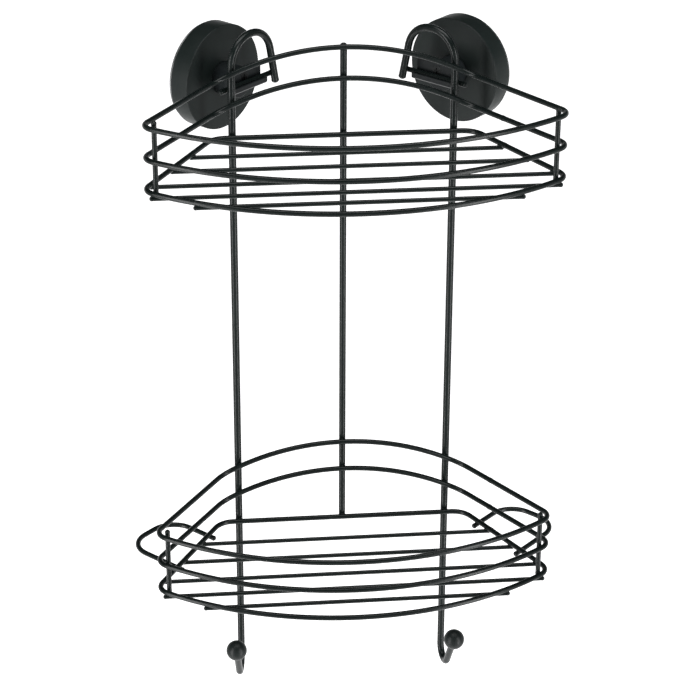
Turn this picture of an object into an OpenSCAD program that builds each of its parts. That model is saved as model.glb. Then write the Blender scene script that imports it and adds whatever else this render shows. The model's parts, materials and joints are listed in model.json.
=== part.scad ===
// Two-tier wire corner caddy, hung on two twist-lock suction mounts.
// The origin is midway between the points where the axes of the two mounts meet
// the walls. +Z is up and -Y points out of the corner of the room. The walls are
// upright planes at 45 degrees to X and Y, which meet behind the origin.

/* [Wire sizes] */
// Diameter of the two outer rods
rod_d = 4.8; // [4:0.2:5.6]
// Diameter of the centre rod
centre_rod_d = 4.4; // [3.6:0.2:5]
// Diameter of the basket rings, rails and wall spacers
rail_d = 3.4; // [3:0.2:4]
// Diameter of the basket floor wires
floor_d = 2.8; // [2.4:0.2:3.2]
// Diameter of the short corner posts
post_d = 3.2; // [2.8:0.2:3.6]

/* [Frame] */
// Distance between the two outer rods
rod_spacing = 140; // [136:1:144]
// Distance from the corner of the room to the plane of the rods
rod_setback = 126; // [125:0.5:128]
// Height of the lower basket's base ring
lower_z = -305.5; // [-330:0.5:-280]
// Height of the upper basket's base ring
upper_z = -28; // [-32:0.5:-24]
// Height of the top of the centre rod
centre_top_z = 31; // [30:0.5:36]

/* [Baskets] */
// Half of a basket's width at its front corners
front_half_width = 128.5; // [124:0.5:132]
// Half of a basket's width at its back bends
back_half_width = 82.5; // [81:0.5:84]
// Distance from the back bar forward to the front corners
side_depth = 81; // [78:0.5:84]
// Slope of the bowed front where it meets a corner, in degrees
front_angle = 36; // [34:0.5:38]
// Bend radius of the front corners
corner_r = 10; // [8:0.5:12]
// Bend radius of the back corners
back_r = 14; // [12:0.5:15]
// Height from one rail to the next
rail_pitch = 20.4; // [18:0.2:22]
// Height of the arch in the back of the two upper rails
arch_rise = 15.8; // [14:0.2:18]
// Places of the floor wires, measured forward from the back bar
floor_wire_places = [23, 45, 68, 86, 102];

/* [Rack hooks] */
// Bend radius of the two hanging hooks at the top of the rods
hanger_r = 18; // [17.5:0.1:18.5]
// Height of the hanging hooks' bend centres
hanger_z = 16.5; // [15:0.5:18]
// Bend radius of the two towel hooks
towel_r = 8.5; // [8:0.5:9.5]
// Height of the towel hooks' bend centres
towel_z = -413.5; // [-420:0.5:-408]
// Outward turn of the towel hooks, in degrees
towel_turn = 9; // [0:1:20]
// Forward lean of the towel hooks' legs, in degrees
towel_lean = 30; // [24:1:36]
// Length of a towel hook's leg, from the bend to the ball's centre
towel_leg = 30; // [27:1:33]
// Diameter of the ball on each towel hook
ball_d = 14; // [13:0.5:15]

/* [Wall spacers] */
// Distance along the wall from the corner to the spacer's back leg
spacer_near = 165; // [164:0.5:166]
// Distance along the wall from the corner to the spacer's front leg
spacer_far = 208; // [206:0.5:210]
// Bend radius of the spacer's two corners
spacer_r = 17; // [14:0.5:19]

/* [Suction mounts] */
// Outside diameter of the twist cover
cover_d = 68; // [66:1:70]
// Distance from the wall to the cover's front face
cover_front = 15.6; // [15:0.1:16]
// Diameter of the fixed hub
hub_d = 20; // [18:1:22]
// Width of the hanging bracket
bracket_w = 31; // [28:0.5:31]

/* [Hidden] */

$fn = 64;
black = [0.10, 0.11, 0.11];
steel = [0.60, 0.60, 0.60];
weld_bite = 0.1;      // depth that welded wires sink into each other
butt_gap = 0.4;       // gap between a ring's two ends inside their butt weld
butt_length = 1.6;    // length of the butt weld
butt_swell = 0.15;    // how far the butt weld stands above the wire
join_gap = 0.1;       // gap between a straight and a bend inside their band
join_half = 0.25;     // half the length of that band
join_swell = 0.03;    // how far that band stands above the wire
short_straight = 1.2; // straight left between two bends that follow on
end_ease = 0.7;       // bevel on the free ends of the wires
run_gap = 0.05;       // radial clearance of a shaft that slides or turns

rod_x = rod_spacing / 2;
// The rod's place measured along and out from its wall
rod_along = (rod_setback + rod_x) / sqrt(2);
rod_out = (rod_setback - rod_x) / sqrt(2);
hub_offset = 19;      // from the rod along the wall to the hub's axis
hub_along = rod_along - hub_offset;
room_corner_y = hub_along / sqrt(2);

rod_y = room_corner_y - rod_setback;
back_y = rod_y - (rod_d + rail_d) / 2 + weld_bite;
corner_y = back_y - side_depth;
front_y = corner_y - front_half_width * tan(front_angle);
front_edge = front_half_width / cos(front_angle);
arch_drop = 3.5;      // how far the arched rails dip at their back bends
arch_corner = 80;     // half the distance between the arched rails' back bends
post_overlap = 2.5;   // how far a post stands above the top rail
wire_overhang = 2.5;  // how far a floor wire's end passes the ring

hanger_end_turn = 78; // turn of the hook's second bend, so its end splays
hanger_leg = 24.5;    // straight end of the hanging hook
bar_z = 1.4;          // height of the hanger bar
bar_out = rod_out - (rod_d + rail_d) / 2 + weld_bite;

// ---------- Points and directions ----------
function unit(v) = v / norm(v);
function turn(a, b, c) = acos(unit(b - a) * unit(c - b));
function trim(a, b, c, r) = r * tan(turn(a, b, c) / 2);

// A point beside the left wall: its distance from the corner along the wall,
// its distance out from the wall, and its height
function wall_point(along, out, z) =
    [(out - along) / sqrt(2), room_corner_y - (out + along) / sqrt(2), z];

// ---------- Bent wire ----------
// Length of rod standing on z = 0, each end either cut square or eased as it
// is after tumbling and coating
module rod(h, r, ease_low, ease_high) {
    a = ease_low ? end_ease : 0;
    b = ease_high ? end_ease : 0;
    rotate_extrude()
        polygon([[0, 0], [r - a, 0], if (a > 0) [r, a], if (b > 0) [r, h - b],
            [r - b, h], [0, h]]);
}

// Rod from p to q
module straight(p, q, r, ease_p = false, ease_q = false) {
    v = q - p;
    translate(p)
        rotate([0, acos(v.z / norm(v)), atan2(v.y, v.x)])
            rod(norm(v), r, ease_p, ease_q);
}

// Straight part of a wire. It stops just short of the bends at its ends, and
// a band hardly thicker than the wire joins it to each of them.
module feed(p, q, r, bend_before, bend_after, ease_ends) {
    u = unit(q - p);
    straight(p + u * (bend_before ? join_gap : 0),
        q - u * (bend_after ? join_gap : 0), r,
        ease_ends && !bend_before, ease_ends && !bend_after);
    if (bend_before)
        straight(p - u * join_half, p + u * join_half, r + join_swell);
    if (bend_after)
        straight(q - u * join_half, q + u * join_half, r + join_swell);
}

// Wire bent round corner b on its way from a to c
module bend(a, b, c, bend_r, r) {
    u = unit(b - a);
    w = unit(c - b);
    m = unit(w - (w * u) * u);
    n = cross(u, m);
    o = b - u * trim(a, b, c, bend_r) + m * bend_r;
    multmatrix([[-m.x, u.x, n.x, o.x],
                [-m.y, u.y, n.y, o.y],
                [-m.z, u.z, n.z, o.z],
                [0, 0, 0, 1]])
        rotate_extrude(angle = turn(a, b, c))
            translate([bend_r, 0]) circle(r = r);
}

// Wire with two free ends and a bend at each point between them
module open_wire(points, bends, r, ease_ends = true) {
    last = len(points) - 1;
    trims = [for (i = [0:last]) i == 0 || i == last ? 0
        : trim(points[i - 1], points[i], points[i + 1], bends[i])];
    for (i = [0:last - 1]) {
        u = unit(points[i + 1] - points[i]);
        feed(points[i] + u * trims[i], points[i + 1] - u * trims[i + 1], r,
            i > 0, i + 1 < last, ease_ends);
    }
    for (i = [1:last - 1])
        bend(points[i - 1], points[i], points[i + 1], bends[i], r);
}

// Closed ring of wire. Its two ends meet in a butt weld on the straight
// between the last point and the first, nearer the first.
module closed_wire(points, bends, r) {
    last = points[len(points) - 1];
    along = unit(points[0] - last);
    joint = (2 * points[0] + last) / 3;
    open_wire(concat([joint + along * butt_gap / 2], points,
        [joint - along * butt_gap / 2]), concat([0], bends, [0]), r, false);
    straight(joint - along * butt_length / 2, joint + along * butt_length / 2,
        r + butt_swell);
}

// ---------- Basket ----------
front_left = [-front_half_width, corner_y, 0];
front_right = [front_half_width, corner_y, 0];
front_point = [0, front_y, 0];
back_left = [-back_half_width, back_y, 0];
back_right = [back_half_width, back_y, 0];
corner_trim = trim(back_left, front_left, front_point, corner_r);
front_trim = front_edge - corner_trim - short_straight;
front_r = front_trim / tan(front_angle);
front_centre_y = front_y + front_r / cos(front_angle);

arch_left = [-arch_corner, back_y, -arch_drop];
arch_right = [arch_corner, back_y, -arch_drop];
// The arch is one long bend: its sides rise to a point above its middle
arch_point_z = 2 * arch_rise + arch_drop;
arch_point = [0, back_y, arch_point_z];
arch_corner_trim = trim(front_left, arch_left, arch_point, back_r);
arch_trim = norm(arch_point - arch_left) - arch_corner_trim - short_straight;
arch_r = arch_trim / tan(turn(arch_left, arch_point, arch_right) / 2);

// Half the width of the base ring at a distance forward from the back bar
function side_x(d) = back_half_width
    + (front_half_width - back_half_width) * d / side_depth;
function front_x(d) =
    sqrt(pow(front_r, 2) - pow(back_y - d - front_centre_y, 2));
function ring_x(d) = d < side_depth - corner_trim / 2 ? side_x(d) : front_x(d);

module base_ring(z) {
    translate([0, 0, z])
        closed_wire([back_right, back_left, front_left, front_point, front_right],
            [back_r, back_r, corner_r, front_r, corner_r], rail_d / 2);
}

module arched_rail(z) {
    translate([0, 0, z])
        closed_wire([arch_right, arch_point, arch_left, front_left, front_point,
            front_right],
            [back_r, arch_r, back_r, corner_r, front_r, corner_r], rail_d / 2);
}

// The corner post stands inside the bowed front, next to the corner bend
post_x = front_half_width - 8.5;
post_ring_r = front_r - (rail_d + post_d) / 2 + weld_bite;
post_y = front_centre_y - sqrt(pow(post_ring_r, 2) - pow(post_x, 2));
module corner_post(side, z) {
    translate([side * post_x, post_y, z - rail_d / 2])
        rod(2 * rail_pitch + rail_d + post_overlap, post_d / 2, true, true);
}

module floor_wire(i, z) {
    d = floor_wire_places[i];
    half = ring_x(d) + wire_overhang;
    drop = (rail_d + floor_d) / 2 - weld_bite;
    translate([-half, back_y - d, z - drop])
        rotate([0, 90, 0]) rod(2 * half, floor_d / 2, true, true);
}

// ---------- Rods ----------
hanger_span = hanger_r * (1 + tan(hanger_end_turn / 2)) + short_straight;
hanger_top = hanger_z + hanger_r;
splay = 90 - hanger_end_turn;
hanger_end_along = rod_along - hanger_span
    - (hanger_r * tan(hanger_end_turn / 2) + hanger_leg) * sin(splay);
hanger_end_z = hanger_top
    - (hanger_r * tan(hanger_end_turn / 2) + hanger_leg) * cos(splay);
towel_out = towel_turn + 90;
towel_leg_dir = [-sin(towel_turn) * sin(towel_lean),
    -cos(towel_turn) * sin(towel_lean), cos(towel_lean)];
towel_trim = towel_r / tan(towel_lean / 2);
towel_corner = [-rod_x, rod_y, towel_z - towel_trim];
ball_centre = towel_corner + towel_leg_dir * (towel_trim + towel_leg);
tip_over = 3; // the wire ends inside the ball, past its centre

module outer_rod() {
    open_wire([ball_centre + towel_leg_dir * tip_over, towel_corner,
        wall_point(rod_along, rod_out, hanger_top),
        wall_point(rod_along - hanger_span, rod_out, hanger_top),
        wall_point(hanger_end_along, rod_out, hanger_end_z)],
        [0, towel_r, hanger_r, hanger_r, 0], rod_d / 2);
}

module hook_ball() {
    translate(ball_centre) rotate([0, towel_lean, -towel_out])
        difference() {
            sphere(d = ball_d);
            translate([0, 0, -ball_d])
                cylinder(h = ball_d + tip_over, d = rod_d);
        }
}

// Bar welded behind the hanging hook, which closes it and carries the rack
bar_over = 6.5; // how far the bar passes the rod's axis
bar_end_along = hanger_end_along + (bar_z - hanger_end_z) * tan(splay) - 1.5;
module hanger_bar() {
    straight(wall_point(rod_along + bar_over, bar_out, bar_z),
        wall_point(bar_end_along, bar_out, bar_z), rail_d / 2, true, true);
}

module wall_spacer() {
    z = lower_z - rail_d + weld_bite;
    near_end = 41.5;
    far_end = 53;
    open_wire([wall_point(spacer_near, near_end, z),
        wall_point(spacer_near, rail_d / 2, z),
        wall_point(spacer_far, rail_d / 2, z),
        wall_point(spacer_far, far_end, z)],
        [0, spacer_r, spacer_r, 0], rail_d / 2);
}

// ---------- Suction mount ----------
// These are drawn with +Z out from the wall, +X towards the corner of the
// room and +Y up, and then put on the left wall.
module on_left_wall() {
    translate(wall_point(hub_along, 0, 0)) rotate([90, 0, 45]) children();
}
module on_right_wall() {
    mirror([1, 0, 0]) on_left_wall() children();
}

pad_r = cover_d / 2 - 1;
pad_t = 1.6;
plate_z = 6.2;         // underside of the base plate's middle
plate_top = 8.7;
stud_r = 4;
stud_z = 3.9;          // underside of the stud's head when the mount is locked
stud_head_t = 1.5;
stud_end = 13.4;
socket_end = 15.8;     // end of the hub's blind hole
cover_wall = 2;
cover_front_t = 2.7;
hub_flange_r = 12.5;
hub_flange_t = 2;
bracket_t = 3;
bracket_back = rod_out - rod_d / 2 - rail_d + weld_bite - 0.3 - bracket_t;

module suction_pad() {
    boss_r = 12;
    pocket_r = 8.5;
    recess_r = 24;
    web = 0.8;
    rotate_extrude()
        polygon([[0, web], [recess_r - 2, web], [recess_r, 0], [pad_r, 0],
            [pad_r - 0.6, pad_t], [boss_r + 0.6, pad_t],
            [boss_r, stud_z + stud_head_t], [pocket_r, stud_z + stud_head_t],
            [pocket_r, pad_t], [0, pad_t]]);
}

module base_plate() {
    outer_r = pad_r - 1.6;
    rim = 3.2;
    rotate_extrude()
        polygon([[stud_r + run_gap, plate_z], [outer_r - rim, plate_z],
            [outer_r - rim, pad_t], [outer_r, pad_t], [outer_r, plate_top],
            [stud_r + run_gap, plate_top]]);
}

module draw_stud() {
    translate([0, 0, stud_z]) cylinder(h = stud_head_t, r = 8);
    translate([0, 0, stud_z + stud_head_t])
        cylinder(h = stud_end - stud_z - stud_head_t, r = stud_r);
}

module twist_cover() {
    r = cover_d / 2;
    inner_z = cover_front - cover_front_t;
    bore = hub_d / 2 + run_gap;
    edge = 0.7;
    rotate_extrude()
        polygon([[bore, inner_z], [r - cover_wall, inner_z],
            [r - cover_wall, pad_t + 0.3], [r, pad_t + 0.3],
            [r, cover_front - edge], [r - edge, cover_front],
            [bore, cover_front]]);
}

module friction_washer() {
    difference() {
        translate([0, 0, plate_top + hub_flange_t])
            cylinder(h = 1.9, r = 14);
        cylinder(h = cover_front, r = hub_d / 2 + 0.3);
    }
}

screw_y = 4.5; // the bracket's screw sits above the hanger bar
screw_r = 1.75;
screw_depth = 10;
module hub() {
    difference() {
        union() {
            translate([0, 0, plate_top])
                cylinder(h = bracket_back - plate_top, r = hub_d / 2);
            translate([0, 0, plate_top])
                cylinder(h = hub_flange_t, r = hub_flange_r);
        }
        cylinder(h = socket_end, r = stud_r + run_gap);
        translate([0, screw_y, bracket_back - screw_depth])
            cylinder(h = screw_depth + 1, r = screw_r);
    }
}

// The bracket is a back plate with a gutter along its lower edge. Its profile
// is drawn with +X out from the wall and +Y up.
gutter_floor = bar_z - rail_d / 2 - 0.2;
gutter_t = 2;
lip_t = 1.6;
lip_gap = 0.4;
bracket_top = 9.5;
module bracket_profile() {
    lip_in = rod_out - rod_d / 2 + lip_gap - bracket_back + weld_bite;
    lip_out = lip_in + lip_t;
    low = gutter_floor - gutter_t;
    difference() {
        polygon([[0, low], [lip_out - 1, low], [lip_out, low + 1],
            [lip_out, bar_z], [0, bar_z]]);
        translate([bracket_t, gutter_floor])
            square([lip_in - bracket_t, bar_z - gutter_floor + 1]);
    }
    translate([0, bar_z]) square([bracket_t, bracket_top - bar_z]);
}

module hanging_bracket() {
    head_r = 3.4;
    difference() {
        translate([bracket_w / 2, 0, bracket_back])
            rotate([0, -90, 0]) linear_extrude(bracket_w) bracket_profile();
        translate([0, screw_y, bracket_back - 1])
            cylinder(h = bracket_t + 2, r = screw_r);
        translate([0, screw_y, bracket_back + bracket_t - 2])
            cylinder(h = 2.1, r1 = screw_r, r2 = head_r + 0.1);
    }
}

module bracket_screw() {
    head_r = 3.3;
    difference() {
        union() {
            translate([0, screw_y, bracket_back - screw_depth + 1])
                cylinder(h = screw_depth + bracket_t - 3, r = screw_r);
            translate([0, screw_y, bracket_back + bracket_t - 2])
                cylinder(h = 2, r1 = screw_r, r2 = head_r);
        }
        for (a = [0, 90])
            translate([0, screw_y, bracket_back + bracket_t])
                rotate([0, 0, a]) cube([3.6, 0.8, 1.6], center = true);
    }
}

// ---------- Named pieces ----------
module left_rod() { color(black) outer_rod(); }
module right_rod() { color(black) mirror([1, 0, 0]) outer_rod(); }
module centre_rod() {
    low = lower_z - rail_d / 2;
    y = back_y + (centre_rod_d + rail_d) / 2 - weld_bite;
    color(black) translate([0, y, low])
        rod(centre_top_z - low, centre_rod_d / 2, true, true);
}
module upper_base_ring() { color(black) base_ring(upper_z); }
module upper_middle_rail() { color(black) arched_rail(upper_z + rail_pitch); }
module upper_top_rail() { color(black) arched_rail(upper_z + 2 * rail_pitch); }
module upper_left_post() { color(black) corner_post(-1, upper_z); }
module upper_right_post() { color(black) corner_post(1, upper_z); }
module lower_base_ring() { color(black) base_ring(lower_z); }
module lower_middle_rail() { color(black) arched_rail(lower_z + rail_pitch); }
module lower_top_rail() { color(black) arched_rail(lower_z + 2 * rail_pitch); }
module lower_left_post() { color(black) corner_post(-1, lower_z); }
module lower_right_post() { color(black) corner_post(1, lower_z); }
module upper_floor_wire(i) { color(black) floor_wire(i, upper_z); }
module lower_floor_wire(i) { color(black) floor_wire(i, lower_z); }
module left_wall_spacer() { color(black) wall_spacer(); }
module right_wall_spacer() { color(black) mirror([1, 0, 0]) wall_spacer(); }
module left_hanger_bar() { color(black) hanger_bar(); }
module right_hanger_bar() { color(black) mirror([1, 0, 0]) hanger_bar(); }
module left_hook_ball() { color(black) hook_ball(); }
module right_hook_ball() { color(black) mirror([1, 0, 0]) hook_ball(); }
module left_suction_pad() { color(black) on_left_wall() suction_pad(); }
module right_suction_pad() { color(black) on_right_wall() suction_pad(); }
module left_base_plate() { color(black) on_left_wall() base_plate(); }
module right_base_plate() { color(black) on_right_wall() base_plate(); }
module left_draw_stud() { color(steel) on_left_wall() draw_stud(); }
module right_draw_stud() { color(steel) on_right_wall() draw_stud(); }
module left_twist_cover() { color(black) on_left_wall() twist_cover(); }
module right_twist_cover() { color(black) on_right_wall() twist_cover(); }
module left_friction_washer() { color(steel) on_left_wall() friction_washer(); }
module right_friction_washer() { color(steel) on_right_wall() friction_washer(); }
module left_hub() { color(black) on_left_wall() hub(); }
module right_hub() { color(black) on_right_wall() hub(); }
module left_hanging_bracket() { color(black) on_left_wall() hanging_bracket(); }
module right_hanging_bracket() { color(black) on_right_wall() hanging_bracket(); }
module left_bracket_screw() { color(steel) on_left_wall() bracket_screw(); }
module right_bracket_screw() { color(steel) on_right_wall() bracket_screw(); }

left_rod();
right_rod();
centre_rod();
upper_base_ring();
upper_middle_rail();
upper_top_rail();
upper_left_post();
upper_right_post();
upper_floor_wire(0);  // upper_floor_wire_1
upper_floor_wire(1);  // upper_floor_wire_2
upper_floor_wire(2);  // upper_floor_wire_3
upper_floor_wire(3);  // upper_floor_wire_4
upper_floor_wire(4);  // upper_floor_wire_5
lower_base_ring();
lower_middle_rail();
lower_top_rail();
lower_left_post();
lower_right_post();
lower_floor_wire(0);  // lower_floor_wire_1
lower_floor_wire(1);  // lower_floor_wire_2
lower_floor_wire(2);  // lower_floor_wire_3
lower_floor_wire(3);  // lower_floor_wire_4
lower_floor_wire(4);  // lower_floor_wire_5
left_wall_spacer();
right_wall_spacer();
left_hanger_bar();
right_hanger_bar();
left_hook_ball();
right_hook_ball();
left_suction_pad();
right_suction_pad();
left_base_plate();
right_base_plate();
left_draw_stud();
right_draw_stud();
left_twist_cover();
right_twist_cover();
left_friction_washer();
right_friction_washer();
left_hub();
right_hub();
left_hanging_bracket();
right_hanging_bracket();
left_bracket_screw();
right_bracket_screw();
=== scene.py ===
"""Looks for the two-tier wire corner caddy: materials, weld fillets, rounded wire ends,
moulded covers, softened edges, studio and camera. Lengths are in metres."""

import json
import math

import bmesh
import bpy
import numpy as np
from mathutils import Matrix, Vector
from mathutils.bvhtree import BVHTree


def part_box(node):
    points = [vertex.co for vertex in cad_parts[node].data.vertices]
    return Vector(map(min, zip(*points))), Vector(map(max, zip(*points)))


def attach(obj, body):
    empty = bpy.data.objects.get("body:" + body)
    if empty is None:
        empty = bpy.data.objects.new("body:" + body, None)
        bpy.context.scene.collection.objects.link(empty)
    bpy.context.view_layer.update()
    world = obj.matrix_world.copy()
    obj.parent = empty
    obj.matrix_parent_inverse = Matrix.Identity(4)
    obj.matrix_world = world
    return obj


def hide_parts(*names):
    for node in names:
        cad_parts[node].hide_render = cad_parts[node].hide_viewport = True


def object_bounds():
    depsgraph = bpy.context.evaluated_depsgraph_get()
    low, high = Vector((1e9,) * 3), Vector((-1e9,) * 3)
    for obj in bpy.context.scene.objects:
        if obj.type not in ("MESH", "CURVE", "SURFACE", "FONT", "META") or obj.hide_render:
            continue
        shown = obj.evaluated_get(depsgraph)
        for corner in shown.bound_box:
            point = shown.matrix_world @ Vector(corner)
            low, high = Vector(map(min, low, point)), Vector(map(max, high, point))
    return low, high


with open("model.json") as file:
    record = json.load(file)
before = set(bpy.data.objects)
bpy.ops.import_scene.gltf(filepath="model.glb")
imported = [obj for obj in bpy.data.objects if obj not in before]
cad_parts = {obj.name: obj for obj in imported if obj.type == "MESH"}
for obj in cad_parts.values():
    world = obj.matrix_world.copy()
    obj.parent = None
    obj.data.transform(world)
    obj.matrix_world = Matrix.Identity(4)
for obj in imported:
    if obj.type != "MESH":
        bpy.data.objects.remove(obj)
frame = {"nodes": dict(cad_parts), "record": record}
cad_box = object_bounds()
nodes = frame["nodes"]
behaviour = frame["record"]["behaviour"]
slot_of = {part["node"]: part["material_slot"] for part in frame["record"]["subparts"]}
body_of = {node: body for body, names in behaviour["bodies"].items() for node in names}
wire_names = sorted(n for n in behaviour["bodies"]["rack"] if "ball" not in n)
SIDES = ("left", "right")
MM = 0.001

# Weld fillets
WELD_SEED = 11
FILLET_GAP = 0.85 * MM        # the metal reaches out to where the wires are this far apart
FILLET_SPREAD = 0.15          # share by which that gap varies from weld to weld
FILLET_REACH = 3.2 * MM       # the furthest it spreads from the middle of the weld
FILLET_END_ROOM = 0.9 * MM    # the length it leaves bare at a wire's cut end
FILLET_LEAST = 0.25 * MM      # the least it spreads, however near the end is
FILLET_HOLLOW = 0.42          # how deep its side is, as a share of its height
FILLET_SINK = 0.05 * MM       # how far its rims sink into the wires
FILLET_AROUND, FILLET_ROWS = 28, 7
LEAST_CROSSING = 0.25         # sine of the smallest angle at which wires get a fillet
LEAST_STACKING = 0.7          # least distance between their axes, over both radii added
WELD_SIZE = 7 * MM            # touching points nearer than this belong to one weld
WELD_VIEW = 3.4 * MM          # faces nearer than this show a wire's direction at a weld
SIDE_SLANT = 0.15             # a wire's side faces slant along it by less than this sine

# Rounded wire ends, measured back from the cut face
CHAMFER = 0.7 * MM
CAP_START, CAP_SHOULDER, CAP_SWELL, CAP_DOME = 2.6 * MM, 2.5 * MM, 2.3 * MM, 1.2 * MM
CAP_BUILD_UP = 0.10 * MM
CAP_SEGMENTS = 32

# Ball necks, twist covers and softened edges
NECK_WIDTH, NECK_LENGTH = 1.1 * MM, 1.3 * MM
COVER_WALL, COVER_FACE = 2.0 * MM, 2.7 * MM
EDGE_WIDTHS = {"hanging_bracket": 0.35 * MM, "hub": 0.4 * MM, "bracket_screw": 0.12 * MM,
               "base_plate": 0.25 * MM, "suction_pad": 0.25 * MM,
               "friction_washer": 0.25 * MM, "draw_stud": 0.25 * MM}
FLAT_ANGLE, SHARP_ANGLE = math.radians(0.5), math.radians(32)

# Studio
FLOOR_DROP, FLOOR_HALF_WIDTH = 1.1, 40
TENT_RADIUS, TENT_RIM = 9, math.radians(9)
STRIP_SIZE, STRIP_POWER = (0.34, 2.2), 56
SOFTBOX_SIZE, SOFTBOX_POWER = (1.3, 0.7), 30


# ---------------------------------------------------------------- material nodes
def new_material(name):
    m = bpy.data.materials.new(name)
    m.use_nodes = True
    tree = m.node_tree
    shader = next(n for n in tree.nodes if n.type == "BSDF_PRINCIPLED")
    coords = tree.nodes.new("ShaderNodeTexCoord")
    return m, tree, shader, coords.outputs["Object"]


def noise(tree, coords, scale, detail=3.0, rough=0.55):
    n = tree.nodes.new("ShaderNodeTexNoise")
    n.inputs["Scale"].default_value = scale
    n.inputs["Detail"].default_value = detail
    n.inputs["Roughness"].default_value = rough
    tree.links.new(coords, n.inputs["Vector"])
    return n.outputs["Fac"]


def to_range(tree, value, low, high, from_low=0.3, from_high=0.7):
    n = tree.nodes.new("ShaderNodeMapRange")
    n.inputs["From Min"].default_value = from_low
    n.inputs["From Max"].default_value = from_high
    n.inputs["To Min"].default_value = low
    n.inputs["To Max"].default_value = high
    tree.links.new(value, n.inputs["Value"])
    return n.outputs["Result"]


def two_colours(tree, value, dark, light):
    n = tree.nodes.new("ShaderNodeValToRGB")
    n.color_ramp.elements[0].position = 0.3
    n.color_ramp.elements[1].position = 0.7
    n.color_ramp.elements[0].color = (*dark, 1)
    n.color_ramp.elements[1].color = (*light, 1)
    tree.links.new(value, n.inputs["Fac"])
    return n.outputs["Color"]


def bump(tree, shader, heights):
    """Adds bumps one on another: heights is a list of (height, strength, distance)."""
    previous = None
    for height, strength, distance in heights:
        b = tree.nodes.new("ShaderNodeBump")
        b.inputs["Strength"].default_value = strength
        b.inputs["Distance"].default_value = distance
        tree.links.new(height, b.inputs["Height"])
        if previous:
            tree.links.new(previous, b.inputs["Normal"])
        previous = b.outputs["Normal"]
    tree.links.new(previous, shader.inputs["Normal"])


# ---------------------------------------------------------------- materials
def powder_coat(name, dark, light, rough=(0.22, 0.32), specular=0.105):
    """Satin powder coat: clouds of colour, orange peel, a finer grain and tiny specks."""
    m, tree, shader, coords = new_material(name)
    cloud = noise(tree, coords, 60, 3)
    peel = noise(tree, coords, 1400, 2, 0.45)
    grain = noise(tree, coords, 4200, 2, 0.6)
    speck = tree.nodes.new("ShaderNodeTexVoronoi")
    speck.inputs["Scale"].default_value = 900
    tree.links.new(coords, speck.inputs["Vector"])
    specks = to_range(tree, speck.outputs["Distance"], 1.0, 0.0, 0.02, 0.12)
    tree.links.new(two_colours(tree, cloud, dark, light), shader.inputs["Base Color"])
    tree.links.new(to_range(tree, peel, *rough), shader.inputs["Roughness"])
    shader.inputs["Specular IOR Level"].default_value = specular
    bump(tree, shader, [(peel, 0.22, 0.06 * MM), (grain, 0.12, 0.02 * MM),
                        (specks, 0.08, 0.03 * MM)])
    return m


def moulded(name, dark, light, rough, specular, grain_size, grain_strength):
    """Moulded plastic: an even spark-eroded grain, faint flow clouds and finger wear."""
    m, tree, shader, coords = new_material(name)
    flow = noise(tree, coords, 35, 4, 0.6)
    grain = noise(tree, coords, grain_size, 2, 0.5)
    wear = noise(tree, coords, 120, 5, 0.7)
    tree.links.new(two_colours(tree, flow, dark, light), shader.inputs["Base Color"])
    tree.links.new(to_range(tree, wear, *rough), shader.inputs["Roughness"])
    shader.inputs["Specular IOR Level"].default_value = specular
    bump(tree, shader, [(flow, 0.10, 0.2 * MM), (grain, grain_strength, 0.04 * MM)])
    return m


def bare_metal(name, colour, rough):
    """Bare or blackened metal: slight stains over a fine, even tool grain."""
    m, tree, shader, coords = new_material(name)
    stain = noise(tree, coords, 180, 4)
    grain = noise(tree, coords, 5200, 2, 0.4)
    dark = tuple(c * 0.78 for c in colour)
    tree.links.new(two_colours(tree, stain, dark, colour), shader.inputs["Base Color"])
    tree.links.new(to_range(tree, grain, *rough), shader.inputs["Roughness"])
    shader.inputs["Metallic"].default_value = 1.0
    bump(tree, shader, [(grain, 0.2, 0.02 * MM)])
    return m


MATERIALS = {
    "black_steel": powder_coat("satin_black_coat", (0.0018, 0.0030, 0.0028),
                               (0.0034, 0.0050, 0.0048)),
    "ball_coat": powder_coat("satin_black_ball", (0.0024, 0.0036, 0.0034),
                             (0.0044, 0.0060, 0.0058), (0.36, 0.46)),
    "black_plastic": moulded("black_cover_plastic", (0.0025, 0.0042, 0.0039),
                             (0.0043, 0.0063, 0.0060), (0.36, 0.50), 0.105, 2600, 0.30),
    "hub_plastic": moulded("black_hub_plastic", (0.0030, 0.0040, 0.0044),
                           (0.0048, 0.0060, 0.0064), (0.30, 0.42), 0.115, 3200, 0.18),
    "pad_rubber": moulded("dark_pad", (0.020, 0.021, 0.022), (0.030, 0.031, 0.032),
                          (0.30, 0.50), 0.45, 1500, 0.10),
    "plain_steel": bare_metal("turned_steel", (0.60, 0.60, 0.59), (0.22, 0.38)),
    "screw_steel": bare_metal("black_oxide_steel", (0.018, 0.019, 0.019), (0.30, 0.45)),
    "slip_washer": moulded("natural_washer_plastic", (0.62, 0.60, 0.55),
                           (0.72, 0.70, 0.65), (0.35, 0.50), 0.45, 2200, 0.12),
}

for name, obj in nodes.items():
    obj.data.materials.clear()
    obj.data.materials.append(MATERIALS[slot_of[name]])


# ---------------------------------------------------------------- pieces and shapes
def add_piece(name, bm, slot, body, *replaced):
    """Turns a bmesh into a smooth piece with its material, which rides on a body."""
    mesh = bpy.data.meshes.new(name)
    for face in bm.faces:
        face.smooth = True
    bm.to_mesh(mesh)
    bm.free()
    obj = bpy.data.objects.new(name, mesh)
    bpy.context.scene.collection.objects.link(obj)
    mesh.materials.append(MATERIALS[slot])
    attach(obj, body)
    if replaced:
        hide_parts(*replaced)
    return obj


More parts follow.
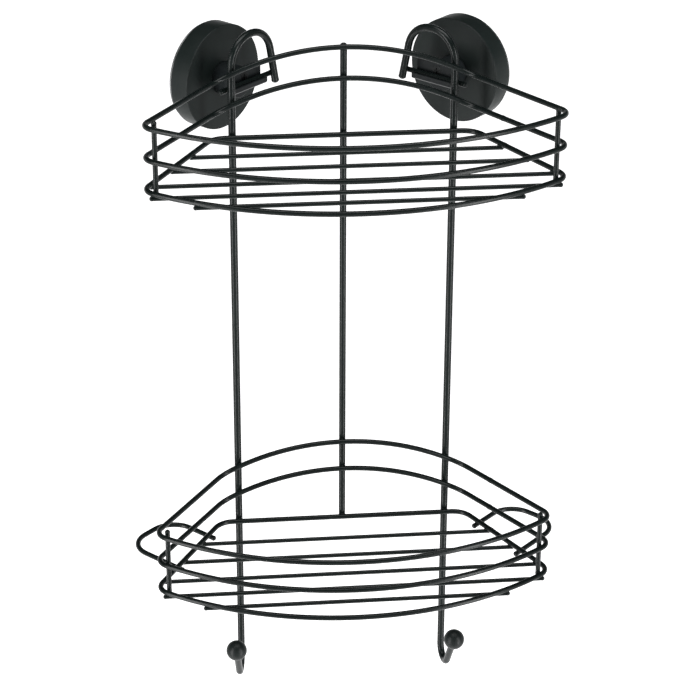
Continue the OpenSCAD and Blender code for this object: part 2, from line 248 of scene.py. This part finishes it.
def closed_mesh(vertices, faces):
    """A bmesh of closed shells, with shared points joined and faces turned outward."""
    mesh = bpy.data.meshes.new("draft")
    mesh.from_pydata([tuple(v) for v in vertices], [], faces)
    bm = bmesh.new()
    bm.from_mesh(mesh)
    bpy.data.meshes.remove(mesh)
    bmesh.ops.remove_doubles(bm, verts=bm.verts, dist=1e-7)
    bmesh.ops.recalc_face_normals(bm, faces=bm.faces)
    return bm


def rounded(profile, steps=7):
    """A closed profile of (x, y, corner radius) with its corners turned into arcs."""
    out = []
    for i, (x, y, r) in enumerate(profile):
        here = np.array([x, y])
        before = np.array(profile[i - 1][:2]) - here
        after = np.array(profile[(i + 1) % len(profile)][:2]) - here
        before /= np.linalg.norm(before)
        after /= np.linalg.norm(after)
        half = math.acos(np.clip(before @ after, -1, 1)) / 2
        middle = (before + after) / np.linalg.norm(before + after)
        centre = here + middle * r / math.sin(half)
        first = here + before * r / math.tan(half) - centre
        last = here + after * r / math.tan(half) - centre
        sweep = math.pi - 2 * half
        for k in range(steps + 1):
            a = sweep * k / steps
            out.append(centre + (first * math.sin(sweep - a) + last * math.sin(a))
                       / math.sin(sweep))
    return out


def lathe(profile, origin, axis, segments=168):
    """Vertices and faces of a profile of (radius, height) turned about an axis."""
    axis = Vector(axis).normalized()
    u = axis.orthogonal().normalized()
    v = axis.cross(u)
    vertices, faces, n = [], [], len(profile)
    for i in range(segments):
        a = 2 * math.pi * i / segments
        out = u * math.cos(a) + v * math.sin(a)
        vertices += [Vector(origin) + out * r + axis * h for r, h in profile]
        for j in range(n):
            k, m = (i + 1) % segments, (j + 1) % n
            faces.append((i * n + j, k * n + j, k * n + m, i * n + m))
    return vertices, faces


def join_shell(vertices, faces, shell):
    """Adds one shell's vertices and faces to the lists of a piece made of many."""
    base = len(vertices)
    vertices += shell[0]
    faces += [tuple(base + v for v in face) for face in shell[1]]


# ---------------------------------------------------------------- reading the wires
def triangle_areas(tri):
    return np.linalg.norm(np.cross(tri[:, 1] - tri[:, 0], tri[:, 2] - tri[:, 0]), axis=1) / 2


def triangles(name):
    """A node's triangles, their normals, and a search tree of them."""
    mesh = nodes[name].data
    mesh.calc_loop_triangles()
    at = np.array([v.co for v in mesh.vertices])
    corners = np.array([t.vertices for t in mesh.loop_triangles])
    tri = at[corners]
    normal = np.cross(tri[:, 1] - tri[:, 0], tri[:, 2] - tri[:, 0])
    size = np.linalg.norm(normal, axis=1, keepdims=True)
    keep = size[:, 0] > 1e-14
    tree = BVHTree.FromPolygons(at.tolist(), corners[keep].tolist())
    return tri[keep], normal[keep] / size[keep], tree


def wire_at(tri, normal, place, reach=WELD_VIEW):
    """Centre, direction and radius of a wire near a place, from the faces round it."""
    largest_face, off_axis = 3 * MM * MM, (0.3, 0.5, 0.8)
    gap = np.maximum(np.maximum(tri.min(1) - place, place - tri.max(1)), 0)
    near = (gap ** 2).sum(1) < reach ** 2
    t, n = tri[near], normal[near]
    weight = np.sqrt(np.minimum(2 * triangle_areas(t), largest_face))[:, None]
    for _ in range(3):
        way = np.linalg.svd(n * weight, full_matrices=False)[2][2]
        side = abs(n @ way) < SIDE_SLANT
        t, n, weight = t[side], n[side], weight[side]
    u = np.cross(way, off_axis)
    u /= np.linalg.norm(u)
    v = np.cross(way, u)
    rows = np.column_stack([n @ u, n @ v, np.ones(len(n))])
    wanted = (n * (t[:, 0] - place)).sum(1)
    x, y, r = np.linalg.lstsq(rows * weight, wanted * weight[:, 0], rcond=None)[0]
    return place + u * x + v * y, way, r


def wire_ends(name):
    """Centre, outward direction and wire radius at each flat, chamfered end of a wire."""
    least_triangles = 6
    tri, normal, _ = triangles(name)
    # faces of one plane share a key: where they look, and how far out the plane is
    keys = np.column_stack([(normal * 50).round(), ((tri[:, 0] * normal).sum(1) / MM).round(1)])
    number = np.unique(keys, axis=0, return_inverse=True)[1].ravel()
    ends = []
    for g in np.flatnonzero(np.bincount(number) >= least_triangles):
        way = normal[number == g].mean(0)
        way /= np.linalg.norm(way)
        level = (tri @ way) / MM
        middle = np.median(level[number == g])
        flat = tri[(normal @ way > 0.999) & (abs(level - middle).max(1) < 0.01)]
        if len(flat) < least_triangles:
            continue
        at = flat.reshape(-1, 3)
        centre = (at.min(0) + at.max(0)) / 2
        r = np.linalg.norm(at - centre, axis=1).max()
        known = any(np.linalg.norm(centre - end[0]) < MM for end in ends)
        roundness = triangle_areas(flat).sum() / (math.pi * r * r)
        if not known and 0.93 < roundness < 1.01:
            ends.append((centre, way, r + CHAMFER))
    return ends


# ---------------------------------------------------------------- weld fillets
def crossings(a, b, pairs):
    """Points where the edges of one wire's triangles pass through the other's."""
    nearly_parallel = 1e-18
    found = []
    ia, ib = np.array(pairs).T
    for edges, plates in ((a[ia], b[ib]), (b[ib], a[ia])):
        for k in range(3):
            start, way = edges[:, k], edges[:, (k + 1) % 3] - edges[:, k]
            e1, e2 = plates[:, 1] - plates[:, 0], plates[:, 2] - plates[:, 0]
            h = np.cross(way, e2)
            det = (e1 * h).sum(1)
            det = np.where(abs(det) < nearly_parallel, nearly_parallel, det)
            s = start - plates[:, 0]
            u = (s * h).sum(1) / det
            q = np.cross(s, e1)
            v = (way * q).sum(1) / det
            t = (e2 * q).sum(1) / det
            hit = (u >= 0) & (v >= 0) & (u + v <= 1) & (t >= 0) & (t <= 1)
            found.append(start[hit] + way[hit] * t[hit, None])
    return np.vstack(found)


def grouped(points):
    """The middle of each weld, from the points where its two wires touch."""
    groups = []
    for p in points:
        for g in groups:
            if np.linalg.norm(np.mean(g, axis=0) - p) < WELD_SIZE:
                g.append(p)
                break
        else:
            groups.append([p])
    return [np.mean(g, axis=0) for g in groups]


def reach_both_ways(tree, wire):
    """How far a wire runs on from a weld, forward and back."""
    centre, way, _ = wire
    ways = []
    for sign in (1, -1):
        hit = tree.ray_cast(Vector(centre), Vector(way * sign))
        ways.append(hit[3] if hit[3] is not None else 1.0)
    return ways


def fillet(a, b, reach_a, reach_b, rng):
    """Vertices and faces of the metal drawn into the corner round a weld of two wires."""
    (ca, da, ra), (cb, db, rb) = a, b
    between = np.cross(da, db)
    if np.linalg.norm(between) < LEAST_CROSSING:
        return None
    between /= np.linalg.norm(between)
    ways = np.column_stack([da, -db, between])
    s, t, height = np.linalg.solve(ways, cb - ca)
    if height < 0:
        between, height = -between, -height
    if height < LEAST_STACKING * (ra + rb):
        return None
    pa, pb = ca + da * s, cb + db * t
    mid = pa + between * (ra - (ra + rb - height) / 2)
    ha, hb = (mid - pa) @ between, (pb - mid) @ between
    side = np.cross(between, da)
    th = np.linspace(0, 2 * math.pi, FILLET_AROUND, endpoint=False)
    out = np.cos(th)[:, None] * da + np.sin(th)[:, None] * side
    sa = np.linalg.norm(np.cross(out, da), axis=1)
    sb = np.linalg.norm(np.cross(out, db), axis=1)
    ripple = 1 + 0.10 * np.sin(2 * th + rng.uniform(0, 6)) + 0.07 * np.sin(
        3 * th + rng.uniform(0, 6))
    wanted = FILLET_GAP * rng.uniform(1 - FILLET_SPREAD, 1 + FILLET_SPREAD) * ripple

    def surfaces(d):
        """Heights of the two wires' surfaces at a distance d from the middle."""
        za = -ha + np.sqrt(np.maximum(ra ** 2 - (d * sa) ** 2, 0))
        zb = hb - np.sqrt(np.maximum(rb ** 2 - (d * sb) ** 2, 0))
        return za, zb

    # halving finds how far out the two surfaces stand as far apart as is wanted
    low = np.zeros(FILLET_AROUND)
    high = 0.97 * np.minimum(ra / np.maximum(sa, 1e-3), rb / np.maximum(sb, 1e-3))
    for _ in range(30):
        d = (low + high) / 2
        za, zb = surfaces(d)
        wide = zb - za > wanted
        high, low = np.where(wide, d, high), np.where(wide, low, d)
    d = np.minimum(d, FILLET_REACH)
    for way, (plus, minus) in ((da, reach_a), (db, reach_b)):
        along = out @ way
        room = np.maximum(np.where(along > 0, plus, minus) - FILLET_END_ROOM, FILLET_LEAST)
        d = np.minimum(d, room / np.maximum(abs(along), 1e-3))
    za, zb = surfaces(d)
    return fillet_shell(mid, out, between, d, za, zb)


def fillet_shell(mid, out, between, d, za, zb):
    """A closed shell with hollow sides between two rims at heights za and zb."""
    n, rows = FILLET_AROUND, FILLET_ROWS
    vertices, faces = [], []
    for k in range(rows):
        f = k / (rows - 1) * 2 - 1
        inward = FILLET_HOLLOW * (zb - za) * math.sqrt(max(0, 1 - f * f))
        z = (za + zb) / 2 + f * ((zb - za) / 2 + FILLET_SINK)
        vertices += list(mid + out * (d - inward)[:, None] + between * z[:, None])
    for k in range(rows - 1):
        for i in range(n):
            j = (i + 1) % n
            faces.append((k * n + i, k * n + j, (k + 1) * n + j, (k + 1) * n + i))
    pole_depth = 0.35 * MM
    vertices += [mid - between * pole_depth, mid + between * pole_depth]
    low_pole, high_pole, top = rows * n, rows * n + 1, (rows - 1) * n
    for i in range(n):
        j = (i + 1) % n
        faces.append((low_pole, j, i))
        faces.append((high_pole, top + i, top + j))
    return vertices, faces


def weld_fillets():
    rng = np.random.default_rng(WELD_SEED)
    wires = {n: triangles(n) for n in wire_names}
    vertices, faces = [], []
    for i, first in enumerate(wire_names):
        for second in wire_names[i + 1:]:
            ta, na, tree_a = wires[first]
            tb, nb, tree_b = wires[second]
            pairs = tree_a.overlap(tree_b)
            if not pairs:
                continue
            for place in grouped(crossings(ta, tb, pairs)):
                a, b = wire_at(ta, na, place), wire_at(tb, nb, place)
                reach_a, reach_b = reach_both_ways(tree_a, a), reach_both_ways(tree_b, b)
                shell = fillet(a, b, reach_a, reach_b, rng)
                if shell:
                    join_shell(vertices, faces, shell)
    add_piece("rack_weld_fillets", closed_mesh(vertices, faces), "black_steel", "rack")


# ---------------------------------------------------------------- rounded wire ends
def ball_centre(side):
    low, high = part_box(f"{side}_hook_ball")
    return (low + high) / 2


def end_cap_profile(r):
    """The coat gathers on a cut wire end: a swelling, then a dome over the end."""
    sunk, flush = r - 0.3 * MM, r - 0.02 * MM
    swell_steps, dome_steps = 4, 8
    profile = [(0, -CAP_START), (sunk, -CAP_START), (flush, -CAP_SHOULDER)]
    for k in range(swell_steps + 1):
        t = k / swell_steps
        profile.append((r + CAP_BUILD_UP * math.sin(t * math.pi / 2),
                        -CAP_SWELL + (CAP_SWELL - CAP_DOME) * t))
    top, dome = r + CAP_BUILD_UP, CAP_DOME + CAP_BUILD_UP
    for k in range(1, dome_steps):
        a = k / dome_steps * math.pi / 2
        profile.append((top * math.cos(a), -CAP_DOME + dome * math.sin(a)))
    return profile + [(0, -CAP_DOME + dome)]


def end_caps():
    balls = [np.array(ball_centre(side)) for side in SIDES]
    in_a_ball = 8 * MM
    vertices, faces = [], []
    for name in wire_names:
        for centre, way, r in wire_ends(name):
            if min(np.linalg.norm(centre - ball) for ball in balls) > in_a_ball:
                join_shell(vertices, faces,
                           lathe(end_cap_profile(r), centre, way, CAP_SEGMENTS))
    add_piece("rack_end_caps", closed_mesh(vertices, faces), "black_steel", "rack")


# ---------------------------------------------------------------- balls and mounts
def ball_neck(side):
    """The collar where a ball is welded on the tip of its hook."""
    low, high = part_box(f"{side}_hook_ball")
    ball_r = (high.z - low.z) / 2
    centre = np.array(ball_centre(side))
    tri, normal, _ = triangles(f"{side}_rod")
    _, way, wire_r = wire_at(tri, normal, centre, ball_r + 3 * MM)
    way = way * (-1 if way[2] > 0 else 1)
    root = math.sqrt(ball_r ** 2 - wire_r ** 2)
    wide, overlap = wire_r + NECK_WIDTH, 0.04 * MM
    start = (wire_r - overlap, root + NECK_LENGTH)
    corner = (wire_r + 0.05 * MM, root)
    end = (wide, math.sqrt((ball_r - overlap) ** 2 - wide ** 2))
    steps, profile = 8, []
    for k in range(steps + 1):
        t = k / steps
        profile.append(tuple((1 - t) ** 2 * s + 2 * t * (1 - t) * c + t * t * e
                             for s, c, e in zip(start, corner, end)))
    inner, inside = wire_r - 0.3 * MM, end[1] - 0.4 * MM
    profile += [(wide, inside), (inner, inside), (inner, start[1])]
    add_piece(f"{side}_ball_neck", closed_mesh(*lathe(profile, centre, way, 56)),
              "ball_coat", "rack")


def mount_axis(side):
    joint = next(j for j in behaviour["joints"] if j["name"] == f"{side}_cover_turn")
    return np.array(joint["pos_m"]), np.array(joint["axis"]) / np.linalg.norm(joint["axis"])


def twist_cover(side):
    """The moulded cap: same cup as the CAD, with its edges rounded."""
    origin, axis = mount_axis(side)
    at = np.array([v.co for v in nodes[f"{side}_twist_cover"].data.vertices]) - origin
    height = at @ axis
    radius = np.linalg.norm(at - height[:, None] * axis, axis=1)
    back, front, outer, bore = height.min(), height.max(), radius.max(), radius.min()
    inner, under = outer - COVER_WALL, front - COVER_FACE
    profile = [(bore, under, 0.25 * MM), (inner, under, 0.8 * MM),
               (inner, back, 0.4 * MM), (outer, back, 0.6 * MM),
               (outer, front, 0.5 * MM), (bore, front, 0.55 * MM)]
    add_piece(f"{side}_cover_shell", closed_mesh(*lathe(rounded(profile), origin, axis)),
              "black_plastic", f"{side}_cover", f"{side}_twist_cover")


def softened(node, width):
    """A CAD part with its sharp edges rounded, as a tool or a mould leaves them."""
    bm = bmesh.new()
    bm.from_mesh(nodes[node].data)
    bmesh.ops.remove_doubles(bm, verts=bm.verts, dist=0.002 * MM)
    bmesh.ops.dissolve_limit(bm, angle_limit=FLAT_ANGLE, verts=bm.verts, edges=bm.edges)
    sharp = [e for e in bm.edges if e.is_manifold and e.calc_face_angle(0) > SHARP_ANGLE]
    bmesh.ops.bevel(bm, geom=sharp, offset=width, offset_type="OFFSET", segments=3,
                    profile=0.5, affect="EDGES", clamp_overlap=True, harden_normals=False)
    obj = add_piece(f"{node}_soft", bm, slot_of[node], body_of[node], node)
    weighted = obj.modifiers.new("even_faces", "WEIGHTED_NORMAL")
    weighted.keep_sharp = True


# ---------------------------------------------------------------- studio and camera
def set_piece(name, bm, greys, mottle_size, mottle_detail, settings):
    """A floor or backdrop: its material is a faint mottle between two greys."""
    mesh = bpy.data.meshes.new(name)
    bm.to_mesh(mesh)
    bm.free()
    obj = bpy.data.objects.new(name, mesh)
    bpy.context.scene.collection.objects.link(obj)
    m, tree, shader, coords = new_material(f"{name}_surface")
    dark, light = greys
    mottle = noise(tree, coords, mottle_size, mottle_detail)
    tree.links.new(two_colours(tree, mottle, (dark,) * 3, (light,) * 3),
                   shader.inputs["Base Color"])
    for socket, value in settings.items():
        shader.inputs[socket].default_value = value
    mesh.materials.append(m)
    return obj


def floor():
    bm = bmesh.new()
    bmesh.ops.create_grid(bm, x_segments=1, y_segments=1, size=FLOOR_HALF_WIDTH)
    obj = set_piece("floor", bm, (0.93, 0.95), 3, 2,
                    {"Roughness": 0.9, "Specular IOR Level": 0.1,
                     "Emission Color": (1, 1, 1, 1), "Emission Strength": 1.0})
    obj.location.z = cad_box[0].z - FLOOR_DROP


def dark_tent():
    """Black cloth over the studio, which the wires mirror as their dark tops."""
    bm = bmesh.new()
    bmesh.ops.create_uvsphere(bm, u_segments=64, v_segments=32, radius=TENT_RADIUS)
    low = [v for v in bm.verts if v.co.z < TENT_RADIUS * math.sin(TENT_RIM)]
    bmesh.ops.delete(bm, geom=low, context="VERTS")
    tent = set_piece("dark_tent", bm, (0.03, 0.05), 2, 3, {"Roughness": 0.9})
    tent.visible_camera = False


def area_light(name, place, target, size, power):
    light = bpy.data.lights.new(name, "AREA")
    light.shape = "RECTANGLE"
    light.size, light.size_y = size
    light.energy = power
    o = bpy.data.objects.new(name, light)
    o.location = place
    o.rotation_euler = (Vector(target) - Vector(place)).to_track_quat("-Z", "Y").to_euler()
    o.visible_camera = False
    bpy.context.scene.collection.objects.link(o)


def studio():
    """A white room under a dark tent, with a softbox above and a strip at each side."""
    scene = bpy.context.scene
    scene.world = bpy.data.worlds.new("studio")
    scene.world.use_nodes = True
    back = next(n for n in scene.world.node_tree.nodes if n.type == "BACKGROUND")
    back.inputs["Color"].default_value = (1, 1, 1, 1)
    back.inputs["Strength"].default_value = 1.0
    middle = (0, -0.05, -0.35)
    area_light("left_strip", (-1.33, -0.89, -0.35), middle, STRIP_SIZE, STRIP_POWER)
    area_light("right_strip", (1.11, -1.15, -0.35), middle, STRIP_SIZE, STRIP_POWER)
    area_light("top_softbox", (0, -0.25, 1.2), (0, -0.05, -0.2), SOFTBOX_SIZE, SOFTBOX_POWER)
    scene.view_settings.view_transform = "Standard"
    scene.view_settings.look = "None"


def camera():
    """A long lens, a little left of the middle, which looks down into the corner."""
    azimuth, elevation, roll = math.radians(-5.77), math.radians(26.46), math.radians(0.27)
    distance, target = 1.569, Vector((0.0016, -0.0616, -0.1698))
    data = bpy.data.cameras.new("camera")
    data.sensor_width = 36
    data.lens = 125.2
    data.clip_start, data.clip_end = 0.05, 100
    cam = bpy.data.objects.new("camera", data)
    back = Vector((math.sin(azimuth) * math.cos(elevation),
                   -math.cos(azimuth) * math.cos(elevation), math.sin(elevation)))
    cam.location = target + back * distance
    cam.rotation_mode = "QUATERNION"
    turn = (-back).to_track_quat("-Z", "Y")
    cam.rotation_quaternion = turn @ Matrix.Rotation(roll, 3, "Z").to_quaternion()
    bpy.context.scene.collection.objects.link(cam)
    bpy.context.scene.camera = cam


# ---------------------------------------------------------------- the whole scene
weld_fillets()
end_caps()
for side in SIDES:
    ball_neck(side)
    twist_cover(side)
    for part, width in EDGE_WIDTHS.items():
        softened(f"{side}_{part}", width)
floor()
dark_tent()
studio()
camera()
